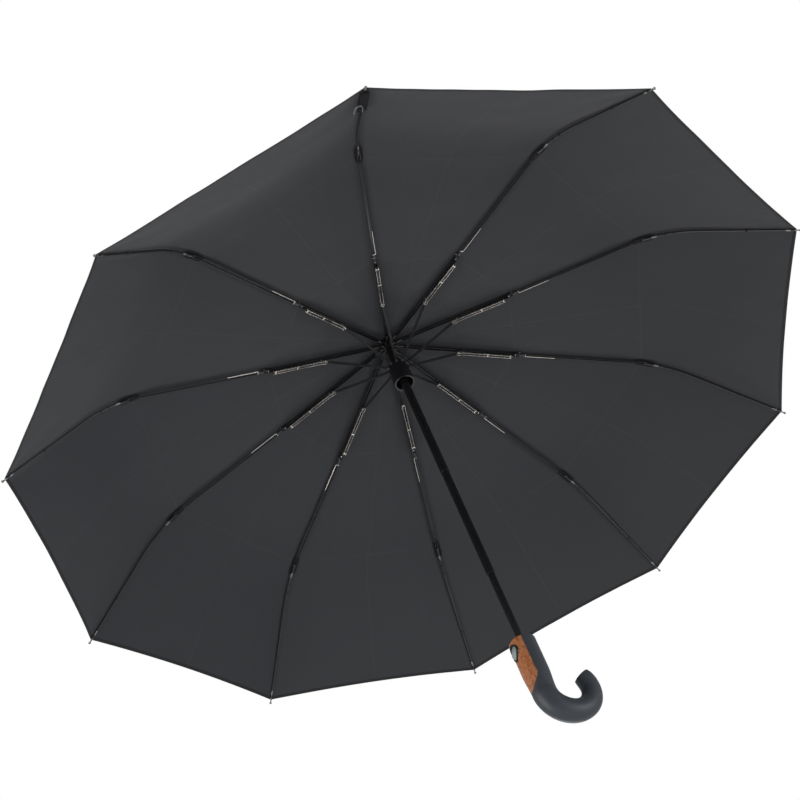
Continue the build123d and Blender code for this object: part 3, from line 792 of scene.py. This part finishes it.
hem_cloth = turned_cloth()
sewing = sewing_tree()
sewing_thread = moulded_nylon("sewing_thread", (0.020, 0.020, 0.022), 0.55)
for rib in rib_names:
    for side, side_name in ((1, "left"), (-1, "right")):
        rings, sewn_points = [], []
        for step in range(hem_steps + 1):
            point, normal, down = cloth_frame(rib, hem_place, side * step / hem_steps)
            centre = point - 0.4 * hem_width * down - 0.5 * cloth_thickness * normal
            angles = [2 * pi * part / 10 for part in range(10)]
            rings.append([centre + down * (0.5 * hem_width * cos(a)) + normal * (0.5 * hem_thickness * sin(a))
                          for a in angles])
            sewn_points.append(point - 0.66 * hem_width * down - 0.62 * hem_thickness * normal)
        hem = Solid()
        hem.skin(rings)
        name = f"canopy_hem_{rib}_{side_name}"
        band = hem.made(name, hem_cloth)
        row = bpy.data.meshes.new("hem_row")
        row.from_pydata(sewn_points, [(step, step + 1) for step in range(hem_steps)], [])
        stitches = grown(name + "_stitches", row, sewing,
                         {"Pitch": stitch_pitch, "Thread": 0.16 * mm, "Finish": sewing_thread})
        band = joined(name, [band, stitches])
        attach(band, f"tail_rib_{rib}")
        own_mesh(band)
        piece, flat, area = cloth_pieces[f"canopy_tail_{rib}_{side_name}"]


# ==== The rib sets ====
# Each of the ten rib sets is a black channel from the crown to the knee with a link channel under it
# that has bright walls, a stretcher from the runner, a middle rib with its bright coupling strip, and
# a springy tail rib that ends in a silver tip. Rivets are the pivots.
def rib_enamel(name, colour, light, rough):
    """Enamelled or anodised strip metal: smooth, with scuffs where the cloth rubs."""
    material, shader, place = material_of(name, Specular_IOR_Level=0.55)
    scuff = place.noise(420, 4, 0.65)
    worn = (scuff * scuff * scuff * 2.2).at_most(1.0)
    feed(shader, Base_Color=worn.mix(colour, light))
    feed(shader, Roughness=rough + 0.22 * scuff)
    feed(shader, Normal=scuff.bump(0.06, 0.0001))
    return material


def station_tree():
    """Puts a piece made in a rib's own frame on its rib set round the shaft."""
    sockets = dict.fromkeys(("Radius", "Height", "Slope", "Azimuth"), "Float")
    sockets["Finish"] = "Material"
    tree, given, result = node_tree("rib_station", sockets)
    given = given.outputs
    spot = grow(tree, "ShaderNodeCombineXYZ", {"X": given["Radius"], "Z": given["Height"]})
    tilt = grow(tree, "ShaderNodeCombineXYZ", {"Y": given["Slope"]})
    round_shaft = grow(tree, "ShaderNodeCombineXYZ", {"Z": given["Azimuth"]})
    tilted = grow(tree, "GeometryNodeTransform", {"Geometry": given["Geometry"],
                  "Translation": spot.outputs[0], "Rotation": tilt.outputs[0]})
    turned = grow(tree, "GeometryNodeTransform", {"Geometry": tilted.outputs[0],
                  "Rotation": round_shaft.outputs[0]})
    whole = grow(tree, "GeometryNodeRealizeInstances", {"Geometry": turned.outputs[0]})
    done = grow(tree, "GeometryNodeSetMaterial", {"Geometry": whole.outputs[0], "Material": given["Finish"]})
    tree.links.new(done.outputs[0], result.inputs[0])
    return tree


station = station_tree()


def rib_set(kind, origin, slope, parts):
    """Ten copies of one link, each from its differently finished parts, on the bodies of that kind."""
    for rib in rib_names:
        made = []
        for index, (master, finish) in enumerate(parts):
            values = {"Radius": origin.x, "Height": origin.y, "Slope": radians(slope),
                      "Azimuth": rib_azimuths[rib], "Finish": finish}
            made.append(grown(f"{kind}_{rib}_part_{index}", master.data, station, values))
        piece = joined(f"{kind}_{rib}_made", made)
        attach(piece, f"{kind}_{rib}")
        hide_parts(f"{kind}_{rib}")
    for master, finish in parts:
        bpy.data.objects.remove(master)


rib_black = rib_enamel("rib_enamel", (0.0045, 0.0045, 0.005), (0.030, 0.030, 0.032), 0.24)
rib_grey = rib_enamel("rib_anodised", (0.008, 0.008, 0.009), (0.060, 0.060, 0.063), 0.22)
link_steel = bright_steel("link_steel", (0.86, 0.81, 0.75), 0.18, 1800)
joint_lift = 2.2 * mm
joint_drop = 2.0 * mm
eye = 1.8 * mm
sheet_wall = 0.45 * mm
elbow_along = 95.0 * mm
elbow_down = 4.0 * mm


def channel(half_width, top, bottom, wall):
    """Section of a channel that is open below."""
    inner = half_width - wall
    return [(-half_width, bottom), (-half_width, top), (half_width, top), (half_width, bottom),
            (inner, bottom), (inner, top - wall), (-inner, top - wall), (-inner, bottom)]


def eye_plate(solid, start, end, half_height, radius, low, high):
    """A flat bar with a round eye at its end."""
    angles = [radians(angle) for angle in range(-80, 81, 20)]
    nose = [(end[0] + radius * cos(a), end[1] + radius * sin(a)) for a in angles]
    solid.plate([(start[0], start[1] - half_height)] + nose + [(start[0], start[1] + half_height)], low, high)


def make_top_rib():
    half, rise = 2.2 * mm, 1.8 * mm
    start, end = 9 * mm, top_length - 6.7 * mm
    steel = Solid()
    steel.bar(start, end, channel(half, rise, -rise, sheet_wall))
    steel.plate([(-0.9 * mm, -1.2 * mm), (-1.5 * mm, 0), (-0.9 * mm, 1.2 * mm), (0.6 * mm, 1.5 * mm),
                 (start + 4 * mm, rise - 0.1 * mm), (start + 4 * mm, -1.2 * mm)], -1.1 * mm, 1.1 * mm)
    ears = [(end - 5 * mm, -rise), (end - 5 * mm, rise), (top_length - 3 * mm, joint_lift + eye),
            (top_length + 0.9 * mm, joint_lift + eye), (top_length + eye, joint_lift + 0.7 * mm),
            (top_length + eye, joint_lift - 0.9 * mm), (top_length - 2 * mm, -rise)]
    steel.pair(ears, half - sheet_wall, half)
    bracket = [(elbow_along - 8 * mm, 0), (elbow_along + 8 * mm, 0),
               (elbow_along + 2 * mm, -elbow_down - 1.4 * mm),
               (elbow_along, -elbow_down - 1.7 * mm), (elbow_along - 2 * mm, -elbow_down - 1.4 * mm)]
    steel.pair(bracket, half - sheet_wall, half + 0.02 * mm)
    link_half, link_top, link_bottom = 2.0 * mm, -5.2 * mm, -7.8 * mm
    link_start, link_end = elbow_along - 8 * mm, top_length - 10.7 * mm
    web = link_half - 0.4 * mm
    web_section = [(-web, link_top - 0.4 * mm), (-web, link_top), (web, link_top), (web, link_top - 0.4 * mm)]
    steel.bar(elbow_along + 21 * mm, link_end, web_section)
    black = steel.made("top_rib_black", rib_black, 0.18 * mm)
    bright = Solid()
    link_wall = [(elbow_along + 21 * mm, link_bottom), (link_end - 1 * mm, link_bottom),
                 (link_end, link_bottom + 1 * mm),
                 (link_end, link_top), (elbow_along + 21 * mm, link_top)]
    bright.pair(link_wall, link_half - 0.4 * mm, link_half)
    cheek = [(link_start, link_bottom - 0.9 * mm), (link_start + 1.2 * mm, link_bottom - 1.5 * mm),
             (link_start + 6 * mm, link_bottom - 1.2 * mm), (link_start + 8 * mm, link_bottom),
             (elbow_along + 22 * mm, link_bottom), (elbow_along + 22 * mm, link_top), (link_start, link_top)]
    bright.pair(cheek, link_half - 0.4 * mm, link_half)
    for along in (link_start + 3 * mm, elbow_along + 36 * mm, link_end - 3 * mm):
        bright.rivet(along, 0.5 * (link_top + link_bottom), 0.85 * mm, link_half + 0.6 * mm)
    bright.rivet(elbow_along, -elbow_down, 0.8 * mm, half + 0.5 * mm)
    bright.rivet(top_length, joint_lift, 0.8 * mm, half + 0.5 * mm)
    return [(black, rib_black), (bright.made("top_rib_bright", link_steel, 0.1 * mm), link_steel)]


def make_stretcher():
    length = hypot(elbow_along, elbow_down)
    half, rise = 1.3 * mm, 1.4 * mm
    bar = Solid()
    bar.bar(3 * mm, length - 2 * mm, channel(half, rise, -rise, 0.4 * mm))
    eye_plate(bar, (6 * mm, 0), (0, 0), -1.2 * mm, -eye, -half, half)
    eye_plate(bar, (length - 5 * mm, 0), (length, 0), 1.2 * mm, eye, -half, half)
    pins = Solid()
    pins.rivet(length - 8 * mm, 0, 0.75 * mm, half + 0.25 * mm)
    pins.rivet(5.2 * mm, 0, 0.7 * mm, half + 0.3 * mm)
    black = bar.made("stretcher_black", rib_grey, 0.15 * mm)
    return [(black, rib_grey), (pins.made("stretcher_pins", link_steel), link_steel)]


def make_middle_rib():
    half = 1.5 * mm
    top, bottom = -joint_lift + 1.3 * mm, -joint_lift - 1.3 * mm
    end = middle_length - 4.5 * mm
    bar = Solid()
    bar.bar(4 * mm, end, channel(half, top, bottom, 0.45 * mm))
    neck = [(-0.6 * mm, eye - 0.2 * mm), (1.2 * mm, eye - 0.4 * mm), (9 * mm, top), (9 * mm, bottom),
            (1.0 * mm, bottom), (-1.4 * mm, -0.8 * mm)]
    bar.plate(neck, -half + 0.1 * mm, half - 0.1 * mm)
    reach, drop = 5.5 * mm, 3.2 * mm
    lean = hypot(reach, drop)
    thick = 1.1 * mm
    rise, run = thick * reach / lean, thick * drop / lean
    bar.plate([(run, -rise), (-reach + run, -drop - rise), (-reach - run, -drop - 0.2 * mm),
               (-reach - run, -drop + rise),
               (-run, rise)], -0.9 * mm, 0.9 * mm)
    pivot_up = -joint_lift - joint_drop
    ears = [(middle_length - 11 * mm, top - 0.3 * mm), (middle_length - 2.5 * mm, top - 0.3 * mm),
            (middle_length + 1.6 * mm, pivot_up + 0.8 * mm), (middle_length + 1.6 * mm, pivot_up - 1.0 * mm),
            (middle_length + 1.0 * mm, pivot_up - 1.4 * mm), (middle_length - 1.4 * mm, pivot_up - 1.4 * mm),
            (middle_length - 11 * mm, bottom + 0.2 * mm)]
    bar.pair(ears, half - 0.05 * mm, half + sheet_wall)
    black = bar.made("middle_rib_black", rib_grey, 0.15 * mm)
    side = half + 0.6 * mm
    height = -joint_lift - 0.6 * mm
    strip = Solid()
    strip.wire([Vector((along, side, height)) for along in (9 * mm, 30 * mm, 52 * mm)], [0.55 * mm] * 3)
    strip.rivet(9 * mm, height, 0.7 * mm, side + 0.3 * mm)
    strip.rivet(middle_length, pivot_up, 0.75 * mm, half + sheet_wall + 0.35 * mm)
    strip.rivet(-reach, -drop, 0.7 * mm, 1.3 * mm)
    wire = Solid()
    wire.wire([Vector((along, side, height)) for along in (50 * mm, 110 * mm, middle_length - 15 * mm)],
              [0.5 * mm] * 3)
    wire.rivet(middle_length - 16 * mm, height, 0.65 * mm, side + 0.1 * mm)
    return [(black, rib_grey), (strip.made("middle_rib_strip", link_steel), link_steel),
            (wire.made("middle_rib_wire", rib_black), rib_black)]


def make_tail_rib():
    """The tail rib, drawn in the frame of its first, straight part."""
    def local(distance, lift=0.0):
        place = tail_at(distance, lift) - outer_knee
        angle = radians(tail_start_slope)
        along = place.x * cos(angle) - place.y * sin(angle)
        return Vector((along, 0, place.x * sin(angle) + place.y * cos(angle)))

    half = 1.3 * mm
    rod = Solid()
    eye_plate(rod, (tail_block, 0), (0, 0), -1.2 * mm, -1.6 * mm, -half, half)
    steps = [tail_block - 2 * mm + step * (tail_length - tail_block + 2 * mm) / 24 for step in range(25)]
    rod.wire([local(step) for step in steps], [(1.45 - 0.3 * step / tail_length) * mm for step in steps], 12)
    bright = Solid()
    sleeve = [tail_block + step * mm for step in (-0.5, 0, 6.5, 7)]
    bright.wire([local(step) for step in sleeve], [1.4 * mm, 1.6 * mm, 1.6 * mm, 1.4 * mm], 14)
    sleeve = [tail_length - step * mm for step in (13, 12.5, 7, 6.5)]
    bright.wire([local(step) for step in sleeve], [1.2 * mm, 1.4 * mm, 1.4 * mm, 1.2 * mm], 14)
    tip = [(-1.5, 1.0), (-1.4, 1.35), (0.2, 1.35), (0.5, 1.0), (3.2, 0.85), (3.9, 1.2), (4.5, 1.6),
           (5.3, 1.7), (6.0, 1.4), (6.4, 0.8), (6.5, 0.3)]
    direction = (local(tail_length) - local(tail_length - 5 * mm)).normalized()
    corner = local(tail_length)
    bright.wire([corner + direction * along * mm for along, radius in tip],
                [radius * mm for along, radius in tip], 16)
    ties = Solid()
    for distance in (16 * mm, 28 * mm, 0.62 * tail_length):
        for turn_number in range(5):
            at = local(tail_block + distance + 0.45 * mm * turn_number)
            ahead = local(tail_block + distance + 0.45 * mm * turn_number + 0.35 * mm)
            ties.wire([at, at.lerp(ahead, 0.5), ahead], [1.45 * mm, 1.7 * mm, 1.45 * mm], 10)
    return [(rod.made("tail_rib_rod", rib_grey, 0.12 * mm), rib_black),
            (bright.made("tail_rib_bright", tip_nickel), tip_nickel),
            (ties.made("tail_rib_ties", sewing_thread), sewing_thread)]


tip_nickel = bright_steel("tip_nickel", (0.22, 0.22, 0.225), 0.28, 2200)
elbow_slope = top_slope + degrees(atan2(elbow_down, elbow_along))
rib_set("top_rib", crown_pivot, top_slope, make_top_rib())
rib_set("stretcher", runner_pivot, -elbow_slope, make_stretcher())
rib_set("middle_rib", knee, middle_slope, make_middle_rib())
rib_set("tail_rib", outer_knee, tail_start_slope, make_tail_rib())


# ==== The joint patches ====
# A small double patch of black cloth is sewn inside the canopy over each outer knee, so that the
# joint doesn't wear the pongee.
def patch_cloth():
    material, shader, place = material_of("patch_cloth", Specular_IOR_Level=0.25)
    weave = place.noise(1800, 2, 0.6)
    feed(shader, Base_Color=weave.mix((0.003, 0.003, 0.0036), (0.008, 0.008, 0.009)))
    feed(shader, Roughness=0.7 + 0.15 * weave)
    feed(shader, Normal=weave.bump(0.3, 0.0003))
    return material


black_patch = patch_cloth()
patch_width = 10 * mm
patch_before = 14 * mm
patch_after = 13 * mm
patch_steps = 14
patch_slope = radians(17)
for rib in rib_names:
    azimuth = rib_azimuths[rib]
    radial = Vector((cos(azimuth), sin(azimuth), 0))
    tangent = Vector((-sin(azimuth), cos(azimuth), 0))
    rings = []
    for step in range(patch_steps + 1):
        distance = -patch_before + (patch_before + patch_after) * step / patch_steps
        if distance < 0:
            sunk = 1.4 * mm + 1.2 * mm * (1 + distance / patch_before)
            flat_place = along_slope(knee, middle_length + distance, -sunk, middle_slope)
        else:
            flat_place = tail_at(distance, 1.2 * mm)
        taper = 1 - 0.25 * abs(2 * step / patch_steps - 1) ** 3
        ring = []
        for across, rise in ((-1, -0.9), (-0.6, -0.15), (0, 0.1), (0.6, -0.15), (1, -0.9), (0.6, -0.45),
                             (0, -0.25), (-0.6, -0.45)):
            point = radial * flat_place.x + Vector((0, 0, flat_place.y + rise * mm))
            ring.append(point + tangent * (0.5 * patch_width * across * taper))
        rings.append(ring)
    patch = Solid()
    patch.skin(rings)
    piece = patch.made(f"joint_patch_{rib}", black_patch)
    pivot = Vector(joints[f"outer_knee_{rib}"]["pos_m"])
    down = radial * cos(patch_slope) - Vector((0, 0, sin(patch_slope)))
    pivot - 7 * mm * down
    pivot + 7 * mm * down
    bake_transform(piece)


# ==== The closing strap ====
# A folded ribbon that hangs below the outer end of one rib, with a loop of clear plastic beside its
# fold. It is wrapped round the umbrella when that is closed.
strap_rib = 7
strap_width = 10 * mm
strap_length = 58 * mm
strap_hang = 3.4 * mm
strap_azimuth = rib_azimuths[strap_rib]
strap_radial = Vector((cos(strap_azimuth), sin(strap_azimuth), 0))
strap_tangent = Vector((-sin(strap_azimuth), cos(strap_azimuth), 0))


def strap_point(distance, lift, across):
    place = tail_at(distance, lift)
    return strap_radial * place.x + Vector((0, 0, place.y)) + strap_tangent * across


def folded_band(solid, start, end, across, half, gap, thickness, drop):
    """Two layers of ribbon from start to end, joined by a round fold at the far end."""
    loop = [(start + (end - start) * step / 8, 0.5 * gap) for step in range(9)]
    loop += [(end + 0.5 * gap * sin(a), 0.5 * gap * cos(a)) for a in (pi / 4, pi / 2, 3 * pi / 4)]
    loop += [(start + (end - start) * step / 8, -0.5 * gap) for step in range(8, -1, -1)]
    rings = []
    for index, (distance, lift) in enumerate(loop):
        sag = drop * sin(pi * min(1, max(0, (distance - start) / (end - start))))
        outer = strap_point(distance, lift - sag, across - half)
        ahead = loop[min(index + 1, len(loop) - 1)]
        back = loop[max(index - 1, 0)]
        run = strap_point(ahead[0], ahead[1], 0) - strap_point(back[0], back[1], 0)
        normal = run.cross(strap_tangent).normalized() * 0.5 * thickness
        wide = strap_tangent * 2 * half
        rings.append([outer - normal, outer + normal, outer + wide + normal, outer + wide - normal])
    solid.skin(rings)


band_start = tail_length - strap_length - 7 * mm
strap = Solid()
folded_band(strap, band_start, tail_length - 8 * mm, across=-1 * mm, half=0.5 * strap_width,
            gap=1.2 * mm, thickness=0.45 * mm, drop=0.8 * mm)
for corner in strap.mesh.verts:
    corner.co.z -= strap_hang
strap_piece = strap.made("closing_strap_band", black_patch)
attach(strap_piece, f"tail_rib_{strap_rib}")
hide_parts("closing_strap")

clear_loop, loop_shader, loop_place = material_of("clear_band", Roughness=0.28, Specular_IOR_Level=0.6)
feed(loop_shader, Base_Color=loop_place.noise(300, 2).mix((0.20, 0.21, 0.21), (0.42, 0.43, 0.43)))
feed(loop_shader, Normal=loop_place.noise(700, 2).bump(0.1, 0.0002))
loop_solid = Solid()
loop_steps = 22
loop_line = []
for step in range(loop_steps + 1):
    angle = pi * step / loop_steps
    loop_line.append(strap_point(band_start + 8 * mm + 22 * mm * sin(angle) ** 0.6, -5.0 * mm,
                                 -6 * mm + 4.6 * mm * cos(angle)))
rings = []
for index, point in enumerate(loop_line):
    ahead = (loop_line[min(index + 1, loop_steps)] - loop_line[max(index - 1, 0)]).normalized()
    face = ahead.cross(Vector((0, 0, 1))).normalized()
    rise = ahead.cross(face).normalized()
    rings.append([point + face * a * 0.25 * mm + rise * b * 1.1 * mm
                  for a, b in ((-1, -0.8), (-1, 0.8), (0, 1), (1, 0.8), (1, -0.8), (0, -1))])
loop_solid.skin(rings)
loop_piece = loop_solid.made("closing_strap_loop", clear_loop)
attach(loop_piece, f"tail_rib_{strap_rib}")


# ==== The handle ====
# A crook moulded in soft-touch black, with a lacquered burl-wood inlay let into its outer side, a
# gloss black teardrop bezel round the push button, and a black enamelled collar at the shaft.
def soft_touch():
    """Rubbery paint over the moulding: satin, with a very fine grain and a few handling marks."""
    material, shader, place = material_of("soft_touch", Sheen_Weight=0.12, Specular_IOR_Level=0.45)
    grain = place.noise(3000, 2)
    marks = place.noise(70, 4, 0.6)
    feed(shader, Base_Color=marks.mix((0.0215, 0.026, 0.033), (0.032, 0.038, 0.046)))
    feed(shader, Roughness=0.36 + 0.16 * marks + 0.06 * grain)
    feed(shader, Normal=grain.bump(0.12, 0.0001))
    return material


def burl_wood():
    """Orange-brown burl: swirling figure, dark flecks, small eyes, and a satin lacquer over it."""
    material, shader, place = material_of("burl_wood", Coat_Roughness=0.12, Coat_Weight=0.35)
    swirl = place.scaled(1, 1, 0.55).noise(130, 5, 0.62, 2.4)
    rings = (swirl * 26 + place.scaled(1, 1, 0.4).noise(60, 3) * 9).wave() * 0.5 + 0.5
    fleck = (place.scaled(1, 1, 0.22).noise(820, 4, 0.7) ** 3 * 3.2).at_most(1.0)
    eyes = place.add("ShaderNodeTexVoronoi", {}, {"Vector": place, "Scale": 210}).fade(0.10, 0.30)
    colour = swirl.add("ShaderNodeValToRGB", {"stops": [
        (0.28, (0.20, 0.050, 0.014, 1)), (0.42, (0.44, 0.135, 0.036, 1)), (0.52, (0.56, 0.200, 0.060, 1)),
        (0.66, (0.64, 0.260, 0.090, 1)), (0.80, (0.36, 0.100, 0.026, 1))]}, {"Fac": swirl})
    colour = (rings * 0.42).mix(colour, (0.24, 0.060, 0.015))
    colour = (fleck * 0.75 + eyes * 0.45).at_most(0.9).mix(colour, (0.10, 0.024, 0.008))
    feed(shader, Base_Color=colour)
    feed(shader, Roughness=0.34 + 0.14 * fleck)
    feed(shader, Normal=(swirl + fleck * 0.3).bump(0.05, 0.0002))
    return material


def gloss_plastic():
    """Polished black plastic with a faint ripple and fine dust marks."""
    material, shader, place = material_of("gloss_plastic", Specular_IOR_Level=0.5)
    dust = place.noise(1600, 3, 0.7)
    feed(shader, Base_Color=dust.mix((0.004, 0.0045, 0.0045), (0.010, 0.011, 0.011)))
    feed(shader, Roughness=0.10 + 0.12 * dust)
    feed(shader, Normal=place.noise(220, 2).bump(0.04, 0.0002))
    return material


def button_plastic():
    """Grey-green satin plastic, a little polished in the middle by thumbs."""
    material, shader, place = material_of("button_plastic", Specular_IOR_Level=0.5)
    wear = place.noise(260, 3)
    feed(shader, Base_Color=wear.mix((0.20, 0.245, 0.225), (0.30, 0.345, 0.325)))
    feed(shader, Roughness=0.30 + 0.2 * wear)
    feed(shader, Normal=place.noise(2400, 2).bump(0.12, 0.0001))
    return material


paint("handle_crook", soft_touch())
paint("handle_inlay", burl_wood())
paint("button_bezel", gloss_plastic())
paint("push_button", button_plastic())
paint("button_spring", nickel)
paint("handle_collar", black_enamel)
